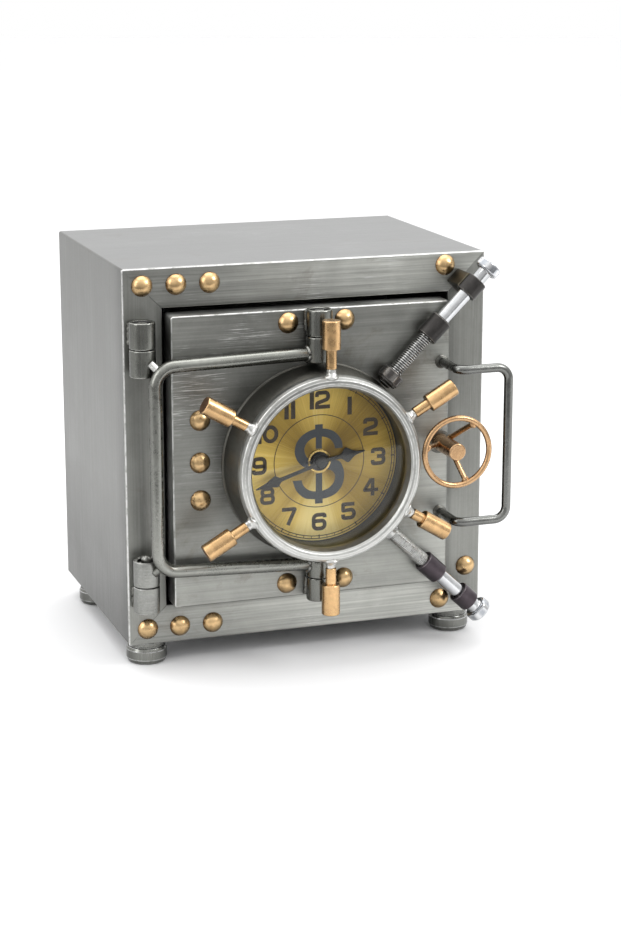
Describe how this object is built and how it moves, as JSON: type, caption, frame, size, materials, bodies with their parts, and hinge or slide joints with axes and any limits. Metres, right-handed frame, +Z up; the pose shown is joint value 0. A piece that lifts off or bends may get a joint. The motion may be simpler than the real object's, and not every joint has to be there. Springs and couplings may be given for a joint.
{
  "type": "toy safe coin bank",
  "caption": "Metal coin bank shaped like a small vault: square case on feet, crane-hinged door with a working clock, bezel pegs, valve-wheel latch and pull handle.",
  "frame": {"origin": "middle of the whole object's box, on the surface the feet stand on", "axes": "+Z up, the door faces -Y, +X to the right as seen from the door"},
  "size_m": [0.208, 0.1874, 0.2195],
  "materials": {
    "gunmetal": "brushed gunmetal steel sheet, slightly worn edges",
    "dark_steel": "dark satin steel",
    "ring_steel": "light brushed steel",
    "brass": "polished brass",
    "copper": "satin copper",
    "bright_zinc": "bright zinc",
    "black_steel": "black oxide steel",
    "gold_dial": "satin gold with dark printed numerals and track",
    "black_paint": "satin black",
    "glass": "clear flat glass",
    "black_plastic": "matt black moulded plastic",
    "battery": "printed metal jacket"
  },
  "bodies": {
    "case": {"case_shell": "gunmetal", "back_panel": "gunmetal", "front_frame": "gunmetal", "foot_front_left": "dark_steel", "foot_front_right": "dark_steel", "foot_rear_left": "dark_steel", "foot_rear_right": "dark_steel", "frame_rivet_top_left_1": "brass", "frame_rivet_top_left_2": "brass", "frame_rivet_top_left_3": "brass", "frame_rivet_bottom_left_1": "brass", "frame_rivet_bottom_left_2": "brass", "frame_rivet_bottom_left_3": "brass", "frame_rivet_top_right": "brass", "frame_rivet_bottom_right_1": "brass", "frame_rivet_bottom_right_2": "brass", "hinge_upper_fixed_knuckle": "dark_steel", "hinge_lower_fixed_knuckle": "dark_steel"},
    "crane": {"crane_arm": "dark_steel", "hinge_upper_arm_knuckle": "dark_steel", "hinge_lower_arm_knuckle": "dark_steel", "pivot_upper_arm_knuckle": "dark_steel", "pivot_lower_arm_knuckle": "dark_steel"},
    "door": {"door_panel": "gunmetal", "door_back_cover": "dark_steel", "door_rivet_1": "brass", "door_rivet_2": "brass", "door_rivet_3": "brass", "door_rivet_4": "brass", "door_rivet_5": "brass", "door_rivet_6": "brass", "door_rivet_7": "brass", "dial_housing": "dark_steel", "bezel_ring": "ring_steel", "clock_glass": "glass", "dial_plate": "gold_dial", "clock_movement": "black_plastic", "battery_cell": "battery", "peg_12": "copper", "peg_02": "copper", "peg_04": "copper", "peg_06": "copper", "peg_08": "copper", "peg_10": "copper", "upper_bolt": "bright_zinc", "lower_bolt": "bright_zinc", "upper_nut": "black_steel", "lower_nut": "black_steel", "upper_inner_collar": "black_steel", "lower_inner_collar": "black_steel", "upper_outer_collar": "black_steel", "lower_outer_collar": "black_steel", "pull_handle": "dark_steel", "pivot_upper_door_knuckle": "dark_steel", "pivot_lower_door_knuckle": "dark_steel"},
    "latch": {"valve_wheel": "copper", "latch_cam": "bright_zinc"},
    "minute": {"minute_hand": "black_paint", "time_set_knob": "black_plastic"},
    "hour": {"hour_hand": "black_paint"}
  },
  "joints": [
    {"name": "crane_hinge", "type": "hinge", "parent": "case", "child": "crane", "pos_m": [-0.09557, -0.0616, 0.113], "axis": [0, 0, -1], "range_deg": [0, 110]},
    {"name": "door_pivot", "type": "hinge", "parent": "crane", "child": "door", "pos_m": [-0.00108, -0.0716, 0.113], "axis": [0, 0, -1], "range_deg": [0, 25]},
    {"name": "latch_turn", "type": "hinge", "parent": "door", "child": "latch", "pos_m": [0.07143, -0.0903, 0.1162], "axis": [0, -1, 0], "range_deg": [0, 90]},
    {"name": "minute_turn", "type": "hinge", "parent": "door", "child": "minute", "pos_m": [-0.00028, -0.0693, 0.1119], "axis": [0, 1, 0], "continuous": true},
    {"name": "hour_turn", "type": "hinge", "parent": "door", "child": "hour", "pos_m": [-0.00028, -0.0693, 0.1119], "axis": [0, 1, 0], "continuous": true}
  ],
  "couplings": [
    {"joint": "hour_turn", "follows": "minute_turn", "ratio": 0.083333}
  ]
}
